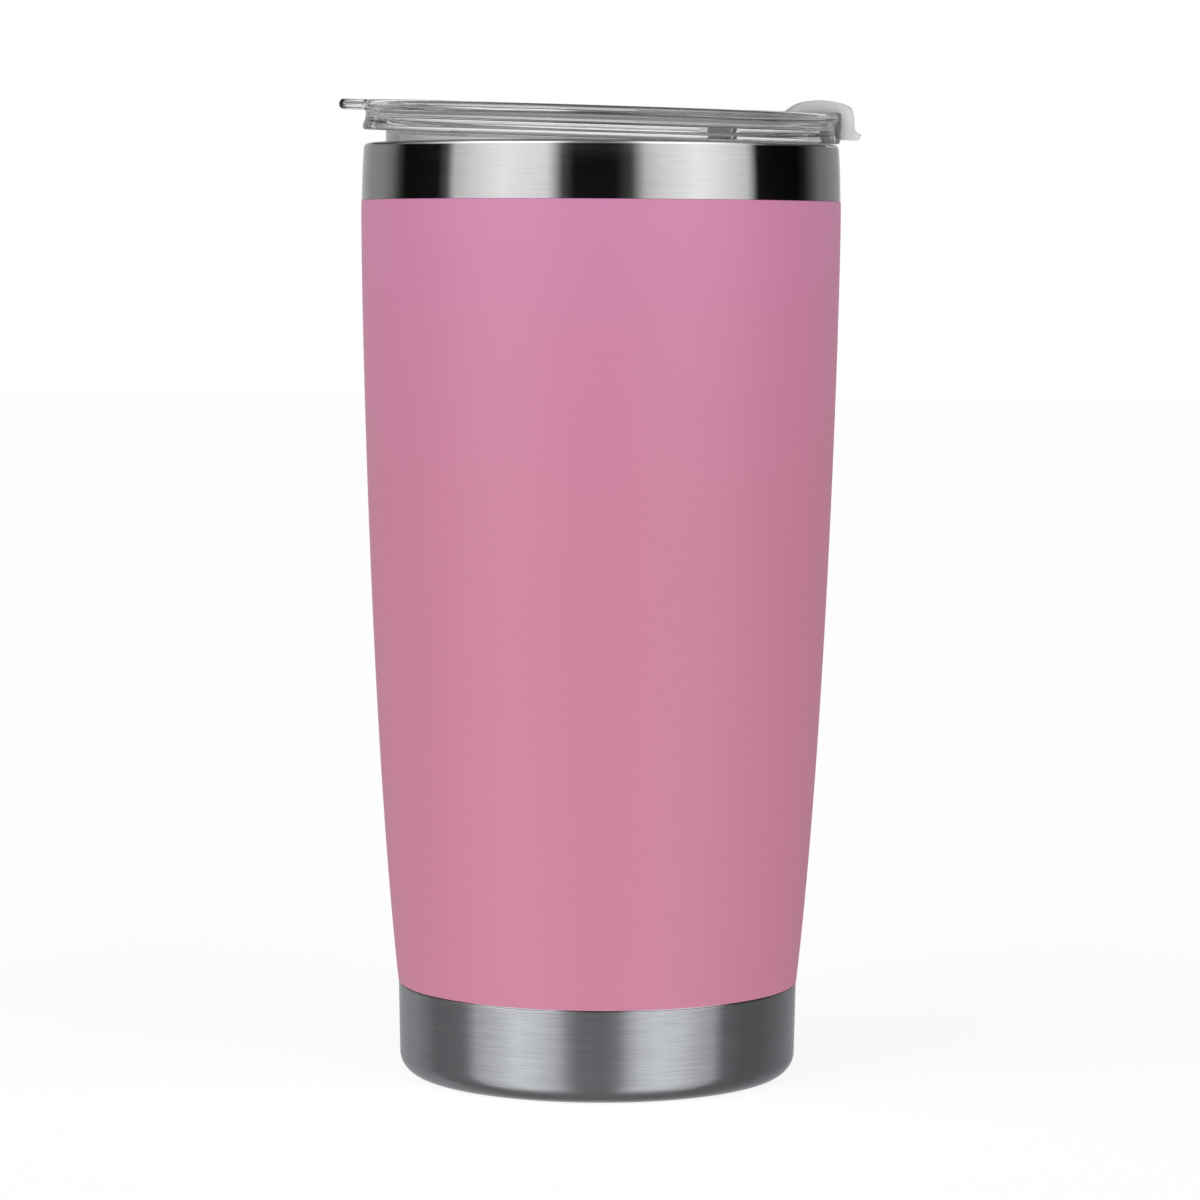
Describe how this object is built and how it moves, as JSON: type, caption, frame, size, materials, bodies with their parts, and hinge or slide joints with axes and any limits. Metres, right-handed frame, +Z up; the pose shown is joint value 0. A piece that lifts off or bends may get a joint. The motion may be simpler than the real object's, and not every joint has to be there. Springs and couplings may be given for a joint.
{
  "type": "insulated tumbler",
  "caption": "Tapered double-wall steel tumbler with a coated body, bare steel bands, and a clear press-in lid with a thumb tab and a soft flip closure.",
  "frame": {"origin": "centre of the foot, on the plane the tumbler stands on", "axes": "+Z up along the body's axis, +X towards the closure, -X towards the thumb tab, -Y towards the viewer"},
  "size_m": [0.0951, 0.0874, 0.1788],
  "materials": {
    "liner_steel": "satin drawn stainless steel",
    "reflective_foil": "copper-toned reflective foil",
    "brushed_steel_band": "stainless steel, finely brushed round the body",
    "pink_powder_coat": "satin powder coat with a very fine texture",
    "base_cover_steel": "pressed stainless steel with a turned grain",
    "solder_glass": "dark opaque solder glass",
    "getter_metal": "sintered grey metal powder",
    "clear_plastic": "clear polished moulded plastic",
    "gasket_silicone": "translucent matt silicone",
    "soft_translucent": "milky translucent soft plastic, satin"
  },
  "bodies": {
    "cup": {"inner_liner": "liner_steel", "liner_wrap": "reflective_foil", "outer_shell": "brushed_steel_band", "powder_coat": "pink_powder_coat", "base_cup": "brushed_steel_band", "base_cover": "base_cover_steel", "vacuum_seal_bead": "solder_glass", "getter_pill": "getter_metal", "getter_holder": "liner_steel"},
    "lid": {"lid_shell": "clear_plastic", "lid_gasket": "gasket_silicone", "closure_anchor": "soft_translucent"},
    "flap": {"closure_flap": "soft_translucent"}
  },
  "joints": [
    {"name": "lid_lift", "type": "slide", "parent": "cup", "child": "lid", "axis": [0, 0, 1], "range_m": [0, 0.04]},
    {"name": "flap_flip", "type": "hinge", "parent": "lid", "child": "flap", "pos_m": [0.02209, 0.00048, 0.17516], "axis": [0.0255, -0.9994, -0.0255], "range_deg": [0, 150]}
  ]
}
